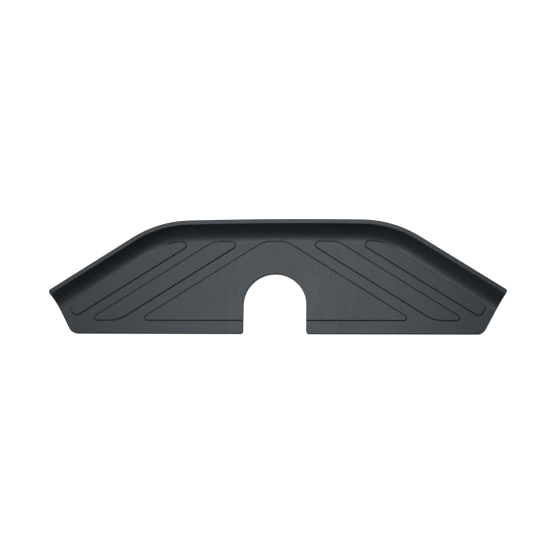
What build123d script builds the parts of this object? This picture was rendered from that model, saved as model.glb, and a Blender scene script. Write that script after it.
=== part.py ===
from build123d import *
import os
from math import cos, radians, sin, sqrt, tan

# A bumper step pad: one ribbed moulding with an upstanding lip, held by push-in clips with soft washers.
# X runs across the vehicle, Y points forward to the lip and Z up. The origin is the centre of the
# tow-ball notch, at the height of the rim that rests on the bumper. All sizes are in millimetres.

# Plan of the moulding
half_width = 463.6          # from the middle to the lip's outer corner
corner_y = 25.0             # how far forward of the notch centre that corner lies
rear_y = -59.5              # the straight rear edge
front_y = 173.0             # the front edge, on the middle line
side_angle = 61.0           # side edge against the rear edge
lip_angle = 33.0            # sloping front edge against the rear edge
crown_radius = 9000.0       # the front edge is very slightly bowed
bend_radius = 220.0         # where the front edge turns into the slopes
lip_corner_radius = 6.0
rear_corner_radius = 17.0

# Notch for the tow ball
notch_radius = 64.0
notch_corner_radius = 6.0

# Heights and walls
wall = 3.0
floor_top = 14.0            # walking surface between the treads
lip_height = 24.0           # lip above that surface
flange_width = 9.5          # flat top of the lip
cove_radius = 40.0          # hollow curve from lip to floor
edge_radius = 1.2           # rounding of every upper edge

# Raised treads
tread_height = 1.7
tread_edge = 0.8
tread_angle = 32.7
tread_front_margin = 42.7   # treads to the front edge
tread_lip_margin = 43.8     # outer tread to the sloping edge
tread_side_margin = 21.5    # outer tread to the side edge
tread_rear_margin = 27.0    # treads to the rear edge
outer_tread_width = 28.4    # widths and gaps are square to the stripes
middle_tread_width = 33.4
outer_tread_gap = 21.7       # between the outer and middle treads
centre_tread_gap = 23.3      # between the middle and centre treads
tip_radius = 7.0             # pointed ends by the lip
rear_tip_radius = 5.0        # and by the rear edge
end_radius = 9.0
shoulder_radius = 42.0
outer_shoulder_radius = 85.0
heel_radius = 65.0
groove_width = 2.0          # a groove outlines each tread, but not where it meets the cove
groove_depth = 1.3
groove_corner = 0.5
groove_setback = 2.0         # and it fades in where a tread has turned this far from the cove

# Ribs under the floor and inside the lip
rib = 2.0
rib_clearance = 1.0         # ribs stop this far above the rim
rib_pitch_x = 42.0
rib_pitch_y = 44.0

# Push-in clip, made of nylon
head_radius = 7.0
head_thickness = 1.6
neck_radius = 3.5
flange_radius = 10.0
flange_thickness = 1.4
core_radius = 2.4
fin_radius = 4.8
fin_rim = 0.35
fin_depth = 1.7             # along the shank, from rim to root
fin_pitch = 2.5
fin_count = 4
first_fin = 3.0             # below the rim, clear of the bumper's sheet
shank_tip_radius = 1.0
shank_length = 15.0         # below the rim
play = 0.1                  # between the clip and its holder, on each face
side_play = 0.2             # around the clip's neck

# Soft washer on each clip
washer_radius = 9.5
washer_bore = 4.0
washer_thickness = 1.6

# Holder for each clip: a small house under the floor, open on one side
shelf_thickness = 2.0
holder_wall = 1.8
holder_side = 20.0
throat_width = 6.4          # narrower than the clip's neck, so that it snaps in
throat_mouth = 12.0
slide_in_room = 24.0        # free of ribs, in front of the open side
rib_gap = 1.5               # between ribs and the clip's flange

# Locating pins
pin_radius = 4.0
pin_length = 9.0
pin_chamfer = 1.5
pin_boss_radius = 8.0

# Margins of the clips' axes
clip_rear_margin = 20.0     # rear row to the rear edge
clip_notch_margin = 36.0    # inner clips of the rear row to the notch
clip_side_margin = 37.5     # outer clips of the rear row to the side edge
clip_front_margin = 61.0    # front row to the front edge
clip_front_half = 70.0      # inner clips of the front row to the middle line
clip_bend_margin = 34.0     # middle clips of the front row to where the front edge bends
clip_lip_margin = 61.0      # outer clips of the front row to the sloping edge
clip_corner_lead = 5.0      # and ahead of the lip's corner

# Worked-out heights
lip_top = floor_top + lip_height
floor_under = floor_top - wall
shelf_under = washer_thickness + flange_thickness + play
neck_length = shelf_thickness + 2 * play

# Worked-out lines in plan
slope = tan(radians(lip_angle))
stripe_slope = tan(radians(tread_angle))
tread_top_y = front_y - tread_front_margin
tread_foot_y = rear_y + tread_rear_margin
rear_row_y = rear_y + clip_rear_margin

run_on = 150.0              # how far cutting shapes run past the moulding
slack = 0.5                 # when edges are picked by their place


def front_corner(inset):
    """Where the bowed front edge and the slope would meet, both moved inward by inset."""
    drop = corner_y - inset / cos(radians(lip_angle)) + half_width * slope - (front_y - inset)
    reach = crown_radius * slope
    x = reach - sqrt(reach**2 - 2 * crown_radius * drop)
    return x, front_y - inset - x**2 / (2 * crown_radius)


def side_x(y, margin=0.0):
    """The side edge's x at y, moved inward by margin."""
    return half_width - (corner_y - y) / tan(radians(side_angle)) - margin / sin(radians(side_angle))


def slope_x(y, margin=0.0):
    """The sloping front edge's x at y, moved inward by margin."""
    return half_width - (y - corner_y + margin / cos(radians(lip_angle))) / slope


def stripe_x(at_top, y):
    """x at y of the stripe edge that crosses the treads' front line at x = at_top."""
    return at_top + (tread_top_y - y) / stripe_slope


# The notch: a half circle with straight sides down to the rear edge and past it
with BuildSketch() as notch:
    Circle(notch_radius)
    with Locations((0, rear_y)):
        Rectangle(2 * notch_radius, -2 * rear_y)

# Plan outline of the moulding
bend_x, bend_y = front_corner(0)
with BuildSketch() as outline:
    with BuildLine():
        front = ThreePointArc((-bend_x, bend_y), (0, front_y), (bend_x, bend_y))
        Polyline(front @ 1, (half_width, corner_y), (side_x(rear_y), rear_y),
                 (-side_x(rear_y), rear_y), (-half_width, corner_y), front @ 0)
    make_face()
    fillet(outline.vertices().filter_by(lambda v: v.Y > corner_y + slack), bend_radius)
    fillet(outline.vertices().filter_by(lambda v: abs(v.Y - corner_y) < slack), lip_corner_radius)
    fillet(outline.vertices().filter_by(lambda v: abs(v.Y - rear_y) < slack), rear_corner_radius)
    add(notch.sketch, mode=Mode.SUBTRACT)
    mouth = outline.vertices().filter_by(
        lambda v: abs(v.Y - rear_y) < slack and abs(abs(v.X) - notch_radius) < slack)
    fillet(mouth, notch_corner_radius)


def tread_space_plan(inset):
    """Plan of the space above the floor, up to the lip, run on past the sides and the rear."""
    x, y = front_corner(inset)
    far_x = half_width + run_on
    far_y = y - (far_x - x) * slope
    with BuildSketch() as plan:
        with BuildLine():
            front = ThreePointArc((-x, y), (0, front_y - inset), (x, y))
            Polyline(front @ 1, (far_x, far_y), (far_x, rear_y - run_on),
                     (-far_x, rear_y - run_on), (-far_x, far_y), front @ 0)
        make_face()
        fillet(plan.vertices().group_by(Axis.Y)[-1], bend_radius - inset)
    return plan.sketch


def cove_edges(part):
    """The bottom edges of a tread space that run along the lip: all but the sides and the rear."""
    foot = part.edges().group_by(Axis.Z)[0]
    return foot.filter_by(lambda e: abs(e.tangent_at(0.5).X) > 0.5).sort_by(Axis.Y)[1:]


# The space above the floor: its rounded lower edge leaves the cove
cove_lean = cove_radius - sqrt(cove_radius**2 - (cove_radius - lip_height)**2)
cove_inset = flange_width - cove_lean
with BuildPart() as tread_space:
    with BuildSketch(Plane.XY.offset(floor_top)):
        add(tread_space_plan(cove_inset))
    extrude(amount=lip_height + cove_radius)
    fillet(cove_edges(tread_space), cove_radius)

# The same space, larger by the wall, shapes the underside
with BuildPart() as tread_skin:
    with BuildSketch(Plane.XY.offset(floor_under)):
        add(tread_space_plan(cove_inset - wall))
    extrude(amount=lip_height + cove_radius + wall)
    fillet(cove_edges(tread_skin), cove_radius + wall)

# Stripe edges, by where they cross the treads' front line, from the lip towards the middle
across = 1 / sin(radians(tread_angle))
outer_far = slope_x(tread_top_y, tread_lip_margin)
outer_near = outer_far - outer_tread_width * across
middle_far = outer_near - outer_tread_gap * across
middle_near = middle_far - middle_tread_width * across
centre_half = middle_near - centre_tread_gap * across


def end_corner(at_top, run):
    """Where a line from (at_top, tread_top_y), of slope 1 / run, meets the margin beside the side edge."""
    side_lean = 1 / tan(radians(side_angle))
    margin_x = side_x(tread_top_y, tread_side_margin)
    fall = (margin_x - at_top) / (run + side_lean)
    return at_top + run * fall, tread_top_y - fall


def tread(corners):
    """A tread's plan: straight sides between the corners, each given with its radius."""
    with BuildSketch() as plan:
        with BuildLine():
            Polyline(*corners, close=True)
        make_face()
        for corner, radius in corners.items():
            fillet(plan.vertices().sort_by_distance((*corner, 0))[0], radius)
    return plan.sketch


outer_tread = tread({
    (outer_near, tread_top_y): tip_radius,
    (outer_far, tread_top_y): outer_shoulder_radius,
    end_corner(outer_far, 1 / slope): end_radius,
    end_corner(outer_near, 1 / stripe_slope): end_radius,
})
middle_tread = tread({
    (middle_near, tread_top_y): tip_radius,
    (middle_far, tread_top_y): shoulder_radius,
    (stripe_x(middle_far, tread_foot_y), tread_foot_y): rear_tip_radius,
    (stripe_x(middle_near, tread_foot_y), tread_foot_y): heel_radius,
})

# The centre tread is a triangle whose top is cut off at the treads' front line
centre_foot = stripe_x(centre_half, tread_foot_y)
with BuildSketch() as centre_tread:
    with BuildLine():
        Polyline((0, tread_top_y + centre_half * stripe_slope), (centre_foot, tread_foot_y),
                 (-centre_foot, tread_foot_y), close=True)
    make_face()
    with Locations((0, tread_top_y)):
        Rectangle(2 * centre_foot, front_y, align=(Align.CENTER, Align.MIN), mode=Mode.SUBTRACT)
    fillet(centre_tread.vertices().group_by(Axis.Y)[-1], shoulder_radius)
    fillet(centre_tread.vertices().group_by(Axis.Y)[0], rear_tip_radius)

with BuildSketch() as tread_plans:
    add(centre_tread.sketch)
    add(middle_tread)
    add(outer_tread)
    mirror(about=Plane.YZ)

# Everything on the lip's side of the outer treads, and the grooves' setback
lip_side_margin = tread_lip_margin + groove_setback
lip_side_y = tread_top_y + run_on
lip_side_x = slope_x(rear_y - run_on, lip_side_margin)
with BuildSketch() as lip_side:
    with BuildLine():
        Polyline((slope_x(lip_side_y, lip_side_margin), lip_side_y), (lip_side_x, lip_side_y),
                 (lip_side_x, rear_y - run_on), close=True)
    make_face()
    mirror(about=Plane.YZ)

# Cutting each tread's plan, grown by the groove's width, leaves the groove once the tread is added
with BuildPart() as grooves:
    with BuildSketch(Plane.XY.offset(floor_top - groove_depth)):
        add(tread_plans.sketch)
        offset(amount=groove_width)
        add(lip_side.sketch, mode=Mode.SUBTRACT)
    extrude(amount=groove_depth + tread_height)
    fillet(grooves.edges().group_by(Axis.Z)[0], groove_corner)

tread_root = max(edge_radius, groove_depth)
with BuildPart() as treads:
    with BuildSketch(Plane.XY.offset(floor_top - tread_root)):
        add(tread_plans.sketch)
        add(notch.sketch, mode=Mode.SUBTRACT)
    extrude(amount=tread_root + tread_height)
    fillet(treads.edges().group_by(Axis.Z)[-1], tread_edge)

# One clip holder: three walls and a slotted shelf, open towards +Y
with BuildPart() as holder:
    with BuildSketch(Plane.XY.offset(shelf_under)):
        Rectangle(holder_side, holder_side)
    extrude(amount=floor_under - shelf_under + wall / 2)
    with BuildSketch(Plane.XY.offset(shelf_under + shelf_thickness)):
        with Locations((0, holder_wall)):
            Rectangle(holder_side - 2 * holder_wall, holder_side)
    extrude(until=Until.LAST, mode=Mode.SUBTRACT)
    with BuildSketch(Plane.XY.offset(shelf_under)):
        Circle(neck_radius + side_play)
        with Locations((0, holder_side / 4)):
            Rectangle(throat_width, holder_side / 2)
        with BuildLine():
            Polyline((-throat_width / 2, holder_side / 4), (throat_width / 2, holder_side / 4),
                     (throat_mouth / 2, holder_side / 2), (-throat_mouth / 2, holder_side / 2), close=True)
        make_face()
    extrude(amount=shelf_thickness, mode=Mode.SUBTRACT)

# Clip places on the right half. Rear holders open forward, front holders open rearward.
inner_x = notch_radius + clip_notch_margin
outer_x = side_x(rear_row_y, clip_side_margin)
middle_x = (inner_x + outer_x) / 2
front_row_y = front_y - clip_front_margin
slope_y = corner_y + clip_corner_lead
clip_places = {
    "rear_inner": (inner_x, rear_row_y),
    "rear_middle": (middle_x, rear_row_y),
    "rear_outer": (outer_x, rear_row_y),
    "front_inner": (clip_front_half, front_row_y),
    "front_middle": (bend_x - clip_bend_margin, front_row_y),
    "front_outer": (slope_x(slope_y, clip_lip_margin), slope_y),
}
pin_x = (inner_x + middle_x) / 2

# Every clip: name, place, and the turn of its holder about Z
clips = {}
for name, (x, y) in clip_places.items():
    turn = 0 if name.startswith("rear") else 180
    clips[name + "_right"] = Location((x, y, 0), (0, 0, turn))
    clips[name + "_left"] = Location((-x, y, 0), (0, 0, turn))

# Ribs in a grid, kept out of the holders and of the clips' way in
columns = 2 * int(half_width / rib_pitch_x)
rows = int((front_y - rear_y) / rib_pitch_y)
with BuildPart() as ribs:
    with BuildSketch(Plane.XY.offset(rib_clearance)):
        with GridLocations(rib_pitch_x, 0, columns, 1):
            Rectangle(rib, 2 * (front_y - rear_y))
        with Locations((0, rear_row_y + rib_pitch_y * rows / 2)):
            with GridLocations(0, rib_pitch_y, 1, rows):
                Rectangle(2 * half_width, rib)
        with Locations(*clips.values()):
            Rectangle(holder_side - holder_wall, holder_side - holder_wall, mode=Mode.SUBTRACT)
            with Locations((0, (holder_side + slide_in_room) / 2)):
                Rectangle(2 * (flange_radius + rib_gap), slide_in_room + holder_side, mode=Mode.SUBTRACT)
    extrude(amount=lip_top)
    with BuildSketch():
        with Locations(*clips.values()):
            Circle(flange_radius + rib_gap)
    extrude(amount=shelf_under, mode=Mode.SUBTRACT)

# The hollow underside is everything inside the walls but the ribs, the holders and the pin bosses
with BuildPart() as under_space:
    with BuildSketch():
        add(outline.sketch)
        offset(amount=-wall, mode=Mode.REPLACE)
    extrude(amount=lip_top - wall)
    add(tread_skin.part, mode=Mode.SUBTRACT)
    add(ribs.part, mode=Mode.SUBTRACT)
    with Locations(*clips.values()):
        add(holder.part, mode=Mode.SUBTRACT)
    with BuildSketch():
        with Locations((pin_x, rear_row_y), (-pin_x, rear_row_y)):
            Circle(pin_boss_radius)
    extrude(amount=floor_top, mode=Mode.SUBTRACT)

with BuildPart() as step_pad:
    add(outline.sketch)
    extrude(amount=lip_top)
    add(tread_space.part, mode=Mode.SUBTRACT)
    walls = step_pad.faces().filter_by(lambda f: abs(f.normal_at().Z) < 0.1)
    wall_tops = walls.edges().filter_by(lambda e: e.center().Z > floor_top - slack
                                        and abs(e.tangent_at(0.5).Z) < 0.9)
    flange_edges = step_pad.edges().group_by(Axis.Z)[-1]
    low_edges = wall_tops.filter_by(lambda e: e.center().Z < lip_top - slack)
    fillet(flange_edges + low_edges, edge_radius)
    add(grooves.part, mode=Mode.SUBTRACT)
    add(treads.part)
    add(under_space.part, mode=Mode.SUBTRACT)
    with BuildSketch():
        with Locations((pin_x, rear_row_y), (-pin_x, rear_row_y)):
            Circle(pin_radius)
    extrude(amount=-pin_length)
    chamfer(step_pad.edges().group_by(Axis.Z)[0], pin_chamfer)

# The push-in clip, turned about its own axis: head, neck, flange, then the finned shank
flange_low = washer_thickness
flange_high = flange_low + flange_thickness
head_low = flange_high + neck_length
shank = [(core_radius, flange_low)]
for fin in range(fin_count):
    z = -first_fin - fin * fin_pitch
    shank += [(core_radius, z), (fin_radius, z), (fin_radius, z - fin_rim), (core_radius, z - fin_depth)]
with BuildPart() as clip:
    with BuildSketch(Plane.XZ) as clip_profile:
        with BuildLine():
            Polyline((0, head_low + head_thickness), (head_radius, head_low + head_thickness),
                     (head_radius, head_low), (neck_radius, head_low), (neck_radius, flange_high),
                     (flange_radius, flange_high), (flange_radius, flange_low), *shank,
                     (shank_tip_radius, -shank_length), (0, -shank_length), close=True)
        make_face()
    revolve(axis=Axis.Z)

with BuildPart() as washer:
    with BuildSketch():
        Circle(washer_radius)
        Circle(washer_bore, mode=Mode.SUBTRACT)
    extrude(amount=washer_thickness)
    rims = washer.edges().filter_by(GeomType.CIRCLE)
    fillet(rims.group_by(SortBy.RADIUS)[-1], washer_thickness / 5)


def write(part, name):
    """Label a finished piece and write it to its own file."""
    part.label = name
    export_step(part, f"parts/{name}.step")


os.makedirs("parts", exist_ok=True)
write(step_pad.part, "step_pad")
for name, place in clips.items():
    write(clip.part.moved(place), f"clip_{name}")
    write(washer.part.moved(place), f"washer_{name}")
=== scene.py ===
# %% [markdown]
# # A bumper step pad
#
# The pad is a wide black moulding that lies on top of a pickup's rear bumper. A boot stands on it, so
# its floor has raised treads, and a lip along the front keeps water and stones off the paint. Under
# it sit push-in clips, each with a washer. The walls, treads, ribs and clip holders come from the
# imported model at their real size. This lesson lights the pad, gives each part its finish, and makes
# the small clips and washers again with the soft corners that mouldings have.

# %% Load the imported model
from math import cos, pi, radians, sin

import bmesh
import bpy
from mathutils import Matrix, Vector


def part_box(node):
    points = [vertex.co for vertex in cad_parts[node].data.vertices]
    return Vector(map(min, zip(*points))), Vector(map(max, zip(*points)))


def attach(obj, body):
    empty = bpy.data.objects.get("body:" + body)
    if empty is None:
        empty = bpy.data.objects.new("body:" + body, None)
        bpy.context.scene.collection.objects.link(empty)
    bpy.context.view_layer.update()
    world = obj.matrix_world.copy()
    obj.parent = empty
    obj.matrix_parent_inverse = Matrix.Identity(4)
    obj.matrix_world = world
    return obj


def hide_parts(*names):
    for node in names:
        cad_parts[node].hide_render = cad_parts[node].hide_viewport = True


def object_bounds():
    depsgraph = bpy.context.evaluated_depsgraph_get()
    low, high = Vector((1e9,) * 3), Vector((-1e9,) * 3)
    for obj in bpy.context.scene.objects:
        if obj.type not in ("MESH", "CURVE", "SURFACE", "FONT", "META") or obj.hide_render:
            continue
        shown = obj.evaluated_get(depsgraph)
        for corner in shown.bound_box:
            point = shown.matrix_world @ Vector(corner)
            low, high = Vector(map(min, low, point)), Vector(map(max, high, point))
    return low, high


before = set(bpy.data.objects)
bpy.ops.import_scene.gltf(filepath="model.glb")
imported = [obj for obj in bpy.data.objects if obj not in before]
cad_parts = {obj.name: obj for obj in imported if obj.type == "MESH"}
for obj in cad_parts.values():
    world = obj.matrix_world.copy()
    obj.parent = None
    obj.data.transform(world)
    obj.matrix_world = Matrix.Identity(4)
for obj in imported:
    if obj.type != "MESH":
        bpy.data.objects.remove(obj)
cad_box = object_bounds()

MM = 0.001
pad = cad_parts["step_pad"]
pad_low, pad_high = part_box("step_pad")
print(len(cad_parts), "parts, pad", [round(v / MM) for v in pad_high - pad_low], "mm")

# %% [markdown]
# ## Where the viewer stands
#
# The viewer stands behind the bumper and looks almost straight down, so the notch opens towards them.
# The camera is 1.8 m away with a fairly long lens, which keeps both ends nearly the same size. It
# could be turned by Euler angles, but a matrix of three directions shows what each one does: `back`
# points from the pad to the camera, and the other two are the picture's right and up.

# %% Camera
floor_top = 14 * MM
aim = Vector((10.54 * MM, 50.36 * MM, floor_top))
distance = 1.8
elevation = radians(79)
drift = radians(3.916)
roll = radians(0.662)

back = Vector((sin(drift), -cos(elevation) * cos(drift), sin(elevation) * cos(drift)))
right = Vector((0, 1, 0)).cross(back).normalized()
up = back.cross(right)
turned_right = right * cos(roll) + up * sin(roll)
turned_up = up * cos(roll) - right * sin(roll)

sensor_width = 36
focal_length = 56.73
lens = bpy.data.cameras.new("camera")
lens.sensor_width = sensor_width
lens.lens = focal_length
lens.dof.use_dof = False
camera = bpy.data.objects.new("camera", lens)
bpy.context.scene.collection.objects.link(camera)
facing = Matrix((turned_right, turned_up, back)).transposed().to_4x4()
camera.matrix_world = Matrix.Translation(aim + distance * back) @ facing
bpy.context.scene.camera = camera
print("camera", [round(v, 2) for v in aim + distance * back], "m")

# %% [markdown]
# ## From a bmesh to an object
#
# Every new shape below is built in a bmesh, which is Blender's editable mesh. One helper turns it into
# an object that stays at the origin, with its place in its vertices. Corners sharper than 35 degrees
# stay crisp and everything else is shaded smooth.

# %% Make an object
crisp_corner = radians(35)


def make_object(name, work, finish):
    """Turn the bmesh into a smooth-shaded object of that finish."""
    mesh = bpy.data.meshes.new(name)
    work.to_mesh(mesh)
    work.free()
    mesh.shade_smooth()
    mesh.set_sharp_from_angle(angle=crisp_corner)
    mesh.materials.append(finish.material)
    piece = bpy.data.objects.new(name, mesh)
    bpy.context.scene.collection.objects.link(piece)
    return piece


# %% [markdown]
# ## Shader maths in plain Python
#
# A finish is a tree of nodes, and most of them are sums. Writing the sums as Python is easier to read
# than wiring nodes by hand, so `Signal` wraps a socket and lets `+`, `-` and `*` add Math nodes.
# `Finish` is a material with one method for every other kind of node.

# %% Signal and Finish
class Signal:
    """A number that varies over a surface. Arithmetic on it adds Math nodes."""

    def __init__(self, finish, socket):
        self.finish = finish
        self.socket = socket

    def combine(self, operation, first, second):
        return self.finish.node("Math", {"operation": operation}, {0: first, 1: second})

    def __add__(self, other):
        return self.combine("ADD", self, other)

    def __sub__(self, other):
        return self.combine("SUBTRACT", self, other)

    def __rsub__(self, other):
        return self.combine("SUBTRACT", other, self)

    def __mul__(self, other):
        return self.combine("MULTIPLY", self, other)

    __radd__ = __add__
    __rmul__ = __mul__

    def step(self, low, high):
        """0 below low, 1 above high, and a smooth rise between them."""
        limits = {"Value": self, "From Min": low, "From Max": high}
        return self.finish.node("MapRange", {"interpolation_type": "SMOOTHSTEP"}, limits)


class Finish:
    """A material that starts as Blender's Principled shader."""

    def __init__(self, name, **constants):
        self.material = bpy.data.materials.new(name)
        self.material.use_nodes = True
        self.tree = self.material.node_tree
        self.shader = self.tree.nodes["Principled BSDF"]
        self.set(**constants)

    def set(self, **values):
        """Feed the shader's sockets, named in lower case with underscores."""
        names = {socket.name.lower().replace(" ", "_"): socket for socket in self.shader.inputs}
        for name, value in values.items():
            self.feed(names[name], value)

    def feed(self, socket, value):
        if isinstance(value, Signal):
            self.tree.links.new(value.socket, socket)
        else:
            socket.default_value = value

    def node(self, kind, settings=None, inputs=None, output=0):
        """Add a node: its settings first, then the values or links of its sockets."""
        new = self.tree.nodes.new("ShaderNode" + kind)
        for name, value in (settings or {}).items():
            setattr(new, name, value)
        for name, value in (inputs or {}).items():
            self.feed(new.inputs[name], value)
        return Signal(self, new.outputs[output])

    def place(self):
        """Where a point is on the object, in metres."""
        return self.node("TexCoord", output="Object")

    def noise(self, place, scale, detail=2.0):
        """Cloudy noise from about 0.3 to 0.7, with scale ripples to the metre."""
        return self.node("TexNoise", None, {"Vector": place, "Scale": scale, "Detail": detail})

    def stretched(self, place, x, y, z):
        """The same pattern with its three directions scaled apart."""
        return self.node("Mapping", None, {"Vector": place, "Scale": (x, y, z)})

    def mix(self, share, first, second):
        """A colour between first, at share 0, and second, at share 1."""
        return self.node("Mix", {"data_type": "RGBA"}, {0: share, 6: first, 7: second}, 2)

    def bump(self, height, depth, strength):
        """A normal that tilts as if the surface rose by height times depth."""
        relief = {"Height": height, "Distance": depth, "Strength": strength}
        return self.node("Bump", None, relief)


print("helpers ready")

# %% [markdown]
# ## The room
#
# The pad stands on its lowest clip tips, on a sheet of opal glass that glows from below, so its
# shadow is faint. The glow grows away from the pad, and the floor stays white right out to where it
# meets the backdrop, which is the world's plain white. The camera sees both, but the pad doesn't:
# light from all round would fill the hollow of the lip and the grooves, which should stay dark. Only
# a small dim pool just over the floor, which the camera doesn't see, lights the pad from below, to
# bring its outer walls out of the dark.

# %% Glowing floor
def flat_square(name, side, height, finish):
    """A square of that side, facing up, at that height."""
    work = bmesh.new()
    bmesh.ops.create_grid(work, x_segments=1, y_segments=1, size=side / 2)
    bmesh.ops.translate(work, verts=work.verts, vec=(0, 0, height))
    return make_object(name, work, finish)


black = (0, 0, 0, 1)
white = (1, 1, 1, 1)
glass_grey = (0.4, 0.4, 0.4, 1)
near_glow = (0.86, 0.86, 0.86, 1)
near, far = 0.7, 3.0
floor_side = 40
floor_height = cad_box[0][2]

glass = Finish("opal glass", base_color=glass_grey, roughness=0.9, specular_ior_level=0.1,
               emission_strength=1.0)
reach = glass.node("VectorMath", {"operation": "LENGTH"}, {0: glass.place()}, "Value")
glass.set(emission_color=glass.mix(reach.step(near, far), near_glow, white))
floor = flat_square("floor", floor_side, floor_height, glass)
floor.visible_diffuse = False
floor.visible_glossy = False
print("floor at", round(floor_height / MM, 1), "mm")

# %% Pool of light
pool_side = 1.3
pool_lift = 0.1 * MM
pool_glow = 0.5

pool_glass = Finish("dim glass", base_color=black, emission_color=white, emission_strength=pool_glow)
pool = flat_square("pool of light", pool_side, floor_height + pool_lift, pool_glass)
pool.visible_camera = False
pool.visible_shadow = False
print("pool of light", pool_side, "m wide")

# %% White backdrop
world = bpy.data.worlds.new("white backdrop")
bpy.context.scene.world = world
world.use_nodes = True
backdrop = world.node_tree.nodes["Background"]
backdrop.inputs["Color"].default_value = white
backdrop.inputs["Strength"].default_value = 1.0
world.cycles_visibility.diffuse = False
world.cycles_visibility.glossy = False
world.cycles_visibility.transmission = False
world.cycles_visibility.scatter = False
bpy.context.scene.view_settings.view_transform = "Standard"
print("backdrop:", world.name)

# %% [markdown]
# ## Soft boxes
#
# A wide soft box overhead makes the flat faces shine softly, more in the middle than at the ends.
# Two smaller ones hang over the front, so the side of every tread that faces rearward is the darker
# one. A low one on the left gives the right end of the lip a little light. An area light shines down
# its own -Z, so `to_track_quat` turns +Z away from the pad. Each row below is a box's name, its place
# and its size in metres, and its power in watts.

# %% Lights
def soft_box(name, place, size, power):
    """A rectangular studio light at place, aimed at the pad, of that power in watts."""
    data = bpy.data.lights.new(name, "AREA")
    data.shape = "RECTANGLE"
    data.size, data.size_y = size
    data.energy = power
    light = bpy.data.objects.new(name, data)
    bpy.context.scene.collection.objects.link(light)
    light.location = place
    light.rotation_euler = (Vector(place) - aim).to_track_quat("Z", "Y").to_euler()
    return light


box_rows = [
    ("overhead box", (0, 0.2, 1.8), (1.2, 0.9), 13.8),
    ("front box", (0, 0.8, 1.6), (0.7, 0.5), 2.7),
    ("front left box", (-1, 0.8, 1.6), (0.7, 0.5), 4.7),
    ("left box", (-1.9, 0, 0.9), (0.6, 0.5), 8.9),
]
boxes = [soft_box(*row) for row in box_rows]
print("lights:", [box.name for box in boxes])

# %% [markdown]
# ## Black pad plastic
#
# The pad is a tough rubbery plastic, moulded black with a hint of blue, and its gloss is bluish too.
# Its mould is etched, so the upper side has a fine leather grain: rounded pebbles a millimetre or two
# across with narrow creases between them. Voronoi's distance to the edge of a cell gives just that,
# once noise has bent its straight borders, and the creases are painted a little darker as painted
# shade. Under the pad the steel was left plain, so faces that look down are smoother. Very faint
# clouds, mottles and flow streaks keep the wide floor from looking printed. The grooves round the
# treads, a little below the floor, are dull, and their colour is darkened there as painted shade.

# %% Leather grain
pebble_size = 1.5 * MM
grain_depth = 0.09 * MM
grain_strength = 0.35
crease_width = 0.22
bend_scale = 0.6 / pebble_size
bend_reach = 1.2 * pebble_size
pore_scale = 4 / pebble_size
gloss_tint = (0.835, 0.924, 1.0, 1)

plastic = Finish("pad plastic", specular_ior_level=0.5, specular_tint=gloss_tint)
here = plastic.place()
bend = plastic.node("TexNoise", None, {"Vector": here, "Scale": bend_scale, "Detail": 1.0}, "Color")
centred = plastic.node("VectorMath", {"operation": "SUBTRACT"}, {0: bend, 1: (0.5, 0.5, 0.5)})
push = plastic.node("VectorMath", {"operation": "SCALE"}, {0: centred, "Scale": bend_reach})
bent = plastic.node("VectorMath", {"operation": "ADD"}, {0: here, 1: push})
crease_distance = plastic.node(
    "TexVoronoi", {"feature": "DISTANCE_TO_EDGE"}, {"Vector": bent, "Scale": 1 / pebble_size}, "Distance")
pebbles = crease_distance.step(0.0, crease_width)
pores = plastic.noise(here, pore_scale, 2.0)
print("pebbles", round(pebble_size / MM, 1), "mm across")

# %% Where the grain and the grooves are
facing_up = plastic.node("SeparateXYZ", None, {0: plastic.node("NewGeometry", output="Normal")}, "Z")
grained = facing_up.step(-0.6, -0.1)
groove_bottom = floor_top - 0.9 * MM
groove_brim = floor_top - 0.1 * MM
level = plastic.node("SeparateXYZ", None, {0: here}, "Z")
above_grooves = level.step(groove_bottom, groove_brim)
# This mask darkens the colour in the grooves as painted shade, and it also dulls their gloss.
groove = (1 - above_grooves) * facing_up.step(-0.2, 0.1)
print("grooves below", round(groove_brim / MM, 1), "mm")

# %% Uneven gloss and colour
cloud_scale, cloud_detail = 9.0, 4.0
mottle_scale, mottle_detail = 240.0, 2.0
streak_stretch = (90.0, 7.0, 30.0)
cloud_share, mottle_share, mottle_offset = 0.35, 0.9, 0.3
clouds = plastic.noise(here, cloud_scale, cloud_detail)
mottles = plastic.noise(here, mottle_scale, mottle_detail)
streaks = plastic.noise(plastic.stretched(here, *streak_stretch), 1.0, 3.0)
variation = (clouds + streaks) * cloud_share + mottles * mottle_share - mottle_offset
print("mottles about", round(1 / mottle_scale / MM, 1), "mm across")

# %% Pad plastic
plastic_dark = (0.0200, 0.0245, 0.0285, 1)
plastic_light = (0.0270, 0.0330, 0.0385, 1)
# The darker groove colour below is painted shade in the grooves.
groove_painted_shade = (0.0130, 0.0160, 0.0185, 1)
darkest, lightest = 0.3, 0.85
pebble_share, pore_share = 0.8, 0.2
# The pebble tops are painted lighter than the creases by this much, which is painted shade in the
# creases.
crease_painted_shade = 0.15
usual_roughness = 0.34
uneven_roughness = 0.20
pebble_polish = 0.06
plain_polish = 0.08
groove_dullness = 0.24

height = (pebbles * pebble_share + pores * pore_share) * grained
# The colour's tone is random mottling plus painted shade in the creases of the grain.
tone_and_crease_shade = (variation + pebbles * crease_painted_shade).step(darkest, lightest)
colour_and_crease_shade = plastic.mix(tone_and_crease_shade, plastic_dark, plastic_light)
dulled = variation * uneven_roughness + groove * groove_dullness + usual_roughness
polished = pebbles * pebble_polish + (1 - grained) * plain_polish
# The base colour is darkened in the grooves as painted shade.
plastic.set(
    base_color=plastic.mix(groove, colour_and_crease_shade, groove_painted_shade),
    roughness=dulled - polished,
    normal=plastic.bump(height, grain_depth, grain_strength))
pad.data.materials.clear()
pad.data.materials.append(plastic.material)
print("pad plastic:", len(plastic.tree.nodes), "nodes")

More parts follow.
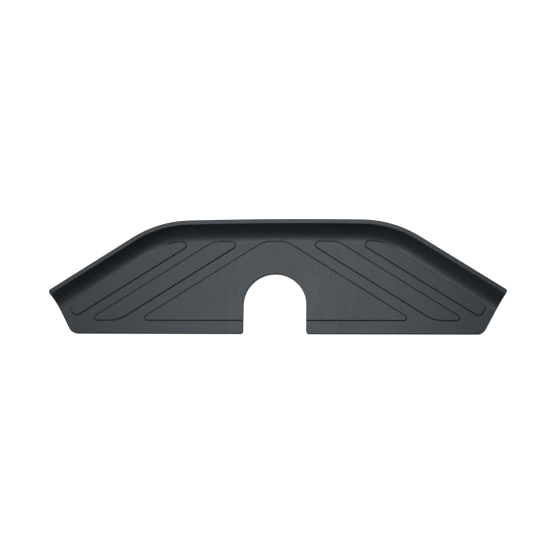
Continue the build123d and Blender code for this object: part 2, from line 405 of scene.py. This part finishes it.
# %% [markdown]
# ## Natural nylon and black rubber
#
# Clips are moulded from undyed nylon. It is a milky off-white with a soft gloss, and light goes a
# little way into it, which a small share of subsurface scattering shows. The gloss is uneven where
# the plastic flowed. The washers are matt moulded rubber with a dusty bloom, pitted very finely.

# %% Nylon
nylon_clear = (0.70, 0.66, 0.56, 1)
nylon_milky = (0.83, 0.80, 0.72, 1)
light_depth = 1.5 * MM
flow_stretch = (500.0, 500.0, 120.0)
flow_depth = 0.05 * MM
haze_scale = 160.0
nylon_roughness, haze_roughness = 0.28, 0.24

nylon = Finish("clip nylon", subsurface_weight=0.15, subsurface_scale=light_depth)
here = nylon.place()
flow = nylon.noise(nylon.stretched(here, *flow_stretch), 1.0, 3.0)
haze = nylon.noise(here, haze_scale, 2.0)
nylon.set(
    base_color=nylon.mix((flow + haze).step(0.8, 1.2), nylon_clear, nylon_milky),
    roughness=nylon_roughness + haze_roughness * haze,
    normal=nylon.bump(flow, flow_depth, 0.25))
print("clip nylon:", len(nylon.tree.nodes), "nodes")

# %% Rubber
rubber_black = (0.016, 0.016, 0.017, 1)
rubber_dusty = (0.045, 0.045, 0.046, 1)
pit_scale = 2500.0
pit_depth = 0.06 * MM
bloom_scale = 240.0
rubber_roughness, bloom_roughness = 0.66, 0.3

rubber = Finish("washer rubber", specular_ior_level=0.35)
here = rubber.place()
pits = rubber.node("TexVoronoi", {"feature": "F1"}, {"Vector": here, "Scale": pit_scale}, "Distance")
bloom = rubber.noise(here, bloom_scale, 4.0)
rubber.set(
    base_color=rubber.mix((bloom + pits * 0.2).step(0.4, 0.85), rubber_black, rubber_dusty),
    roughness=rubber_roughness + bloom_roughness * bloom,
    normal=rubber.bump(pits + bloom, pit_depth, 0.4))
print("washer rubber:", len(rubber.tree.nodes), "nodes")

# %% [markdown]
# ## A round part from its outline
#
# Clips and washers are turned shapes: an outline spun once round an upright axis. Each outline is a
# handful of corners, given as radius and height in millimetres. A closed outline makes a ring. An
# open one starts and ends on the axis, where the spun copies of its end points are merged into one.

# %% Spin an outline
round_steps = 48
merge_distance = 0.001 * MM


def spun(outline, closed=False):
    """A bmesh of the outline turned once about Z."""
    work = bmesh.new()
    corners = [work.verts.new((radius * MM, 0, height * MM)) for radius, height in outline]
    sides = [work.edges.new(pair) for pair in zip(corners, corners[1:])]
    if closed:
        sides.append(work.edges.new((corners[-1], corners[0])))
    bmesh.ops.spin(work, geom=corners + sides, cent=(0, 0, 0), axis=(0, 0, 1), dvec=(0, 0, 0),
                   angle=2 * pi, steps=round_steps, use_merge=True, use_duplicate=False)
    bmesh.ops.remove_doubles(work, verts=work.verts, dist=merge_distance)
    bmesh.ops.recalc_face_normals(work, faces=work.faces)
    return work


def soften(work, width, segments=2):
    """Round every sharp corner by width, in millimetres."""
    sharp = [edge for edge in work.edges if edge.calc_face_angle(0) > crisp_corner]
    bmesh.ops.bevel(work, geom=sharp, offset=width * MM, offset_type="OFFSET", segments=segments,
                    profile=0.5, affect="EDGES", material=-1, clamp_overlap=True)


# %% [markdown]
# ## The push-in clip
#
# From the top, a clip has a round head that slides into the pad's holder, a neck, a wide flange that
# presses on the washer, and a shank with thin fins. The fins are little umbrellas that lean back
# towards the head: they fold as they go into the bumper's hole and spread behind it. The mould opens
# sideways, so the fins are cut flat on two sides. The head has a shallow dish with the gate's stub
# in it. Spinning the whole outline at once keeps head and shank one watertight shape, and
# `bisect_plane` then slices the two flats off the fins.

# %% Clip sizes
head_radius, head_low, head_top = 7.0, 5.2, 6.8
dish_radius, dish_depth, dish_slope = 5.0, 0.35, 0.5
stub_radius, stub_top = 0.9, 6.7
draft = 0.2
neck_radius = 3.5
flange_radius, flange_low, flange_rim, flange_high = 10.0, 1.6, 2.75, 3.0
core_radius = 2.4
fin_radius, fin_rim, fin_thickness, fin_drop = 4.8, 0.3, 0.7, 1.7
fin_tops = (-3.0, -5.5, -8.0, -10.5)
tip_radius, shank_end = 1.0, -15.0
flat_distance = 3.7
clip_rounding = 0.12
own_turns = (-4, 3, 7, -2, 5, -6, 1)
print("clip", head_top - shank_end, "mm long,", len(fin_tops), "fins")

# %% Clip shape
def clip_outline():
    """The corners of half a clip, from the top of its head to the tip of its shank."""
    dish_floor = head_top - dish_depth
    head = [(0, stub_top), (stub_radius, stub_top), (stub_radius + draft, dish_floor),
            (dish_radius - dish_slope, dish_floor), (dish_radius, head_top), (head_radius, head_top),
            (head_radius, head_low), (neck_radius, head_low), (neck_radius, flange_high)]
    flange = [(flange_radius, flange_rim), (flange_radius, flange_low), (core_radius, flange_low)]
    fins = []
    for top in fin_tops:
        root = top - fin_drop
        fins += [(core_radius, root + fin_thickness), (fin_radius, top),
                 (fin_radius, top - fin_rim), (core_radius, root)]
    tip = [(tip_radius, shank_end), (0, shank_end)]
    return head + flange + fins + tip


def clip_shape():
    """One clip at the origin, its shank sliced flat on two sides."""
    work = spun(clip_outline())
    for side in (-1, 1):
        shank = {vert for vert in work.verts if vert.co.z < 0}
        faces = [face for face in work.faces if shank.issuperset(face.verts)]
        edges = [edge for edge in work.edges if shank.issuperset(edge.verts)]
        cut = bmesh.ops.bisect_plane(work, geom=list(shank) + edges + faces, clear_outer=True,
                                     plane_co=(side * flat_distance * MM, 0, 0), plane_no=(side, 0, 0))
        rim = [item for item in cut["geom_cut"] if isinstance(item, bmesh.types.BMEdge)]
        bmesh.ops.holes_fill(work, edges=rim, sides=0)
    soften(work, clip_rounding)
    return work


sample = clip_shape()
print("a clip:", len(sample.faces), "faces, open edges", sum(not e.is_manifold for e in sample.edges))
sample.free()

# %% [markdown]
# ## The washer
#
# The washer is squeezed between the clip's flange and the bumper, so its rim bulges a little and its
# corners are round. A ring with six corners, spun closed and then bevelled, is enough.

# %% Washer shape
washer_radius = 9.5
washer_bore = 4.0
washer_thickness = 1.6
bulge = 0.2
washer_rounding = 0.25


def washer_shape():
    """One washer at the origin, standing on the rim's height."""
    middle = washer_thickness / 2
    work = spun([(washer_bore + bulge, 0), (washer_bore, middle), (washer_bore + bulge, washer_thickness),
                 (washer_radius - bulge, washer_thickness), (washer_radius, middle),
                 (washer_radius - bulge, 0)], closed=True)
    soften(work, washer_rounding, 3)
    return work


sample = washer_shape()
print("a washer:", len(sample.faces), "faces, open edges", sum(not e.is_manifold for e in sample.edges))
sample.free()

# %% [markdown]
# ## Put the clips and washers in their holders
#
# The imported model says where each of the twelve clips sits. A piece's object stays at the origin, so
# its place goes into its mesh. Clips of the front row are turned half round, as their holders are,
# and every clip also gets a few degrees of its own, because nobody pushes them all in alike.

# %% Twelve of each
def fit(work, name, node, finish, turn):
    """Turn a shape, move it to a CAD node's axis, and let it stand for that node."""
    low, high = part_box(node)
    middle = (low + high) / 2
    bmesh.ops.rotate(work, verts=work.verts, cent=(0, 0, 0), matrix=Matrix.Rotation(turn, 3, "Z"))
    bmesh.ops.translate(work, verts=work.verts, vec=(middle.x, middle.y, 0))
    piece = make_object(name, work, finish)
    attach(piece, "root")
    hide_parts(node)
    return piece


clip_nodes = sorted(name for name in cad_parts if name.startswith("clip_"))
for number, node in enumerate(clip_nodes):
    place = node.removeprefix("clip_")
    half_turn = pi if place.startswith("front") else 0
    own_turn = radians(own_turns[number % len(own_turns)])
    fit(clip_shape(), "nylon_clip_" + place, node, nylon, half_turn + own_turn)
    fit(washer_shape(), "rubber_washer_" + place, "washer_" + place, rubber, own_turn)
print(len(clip_nodes), "clips and as many washers")
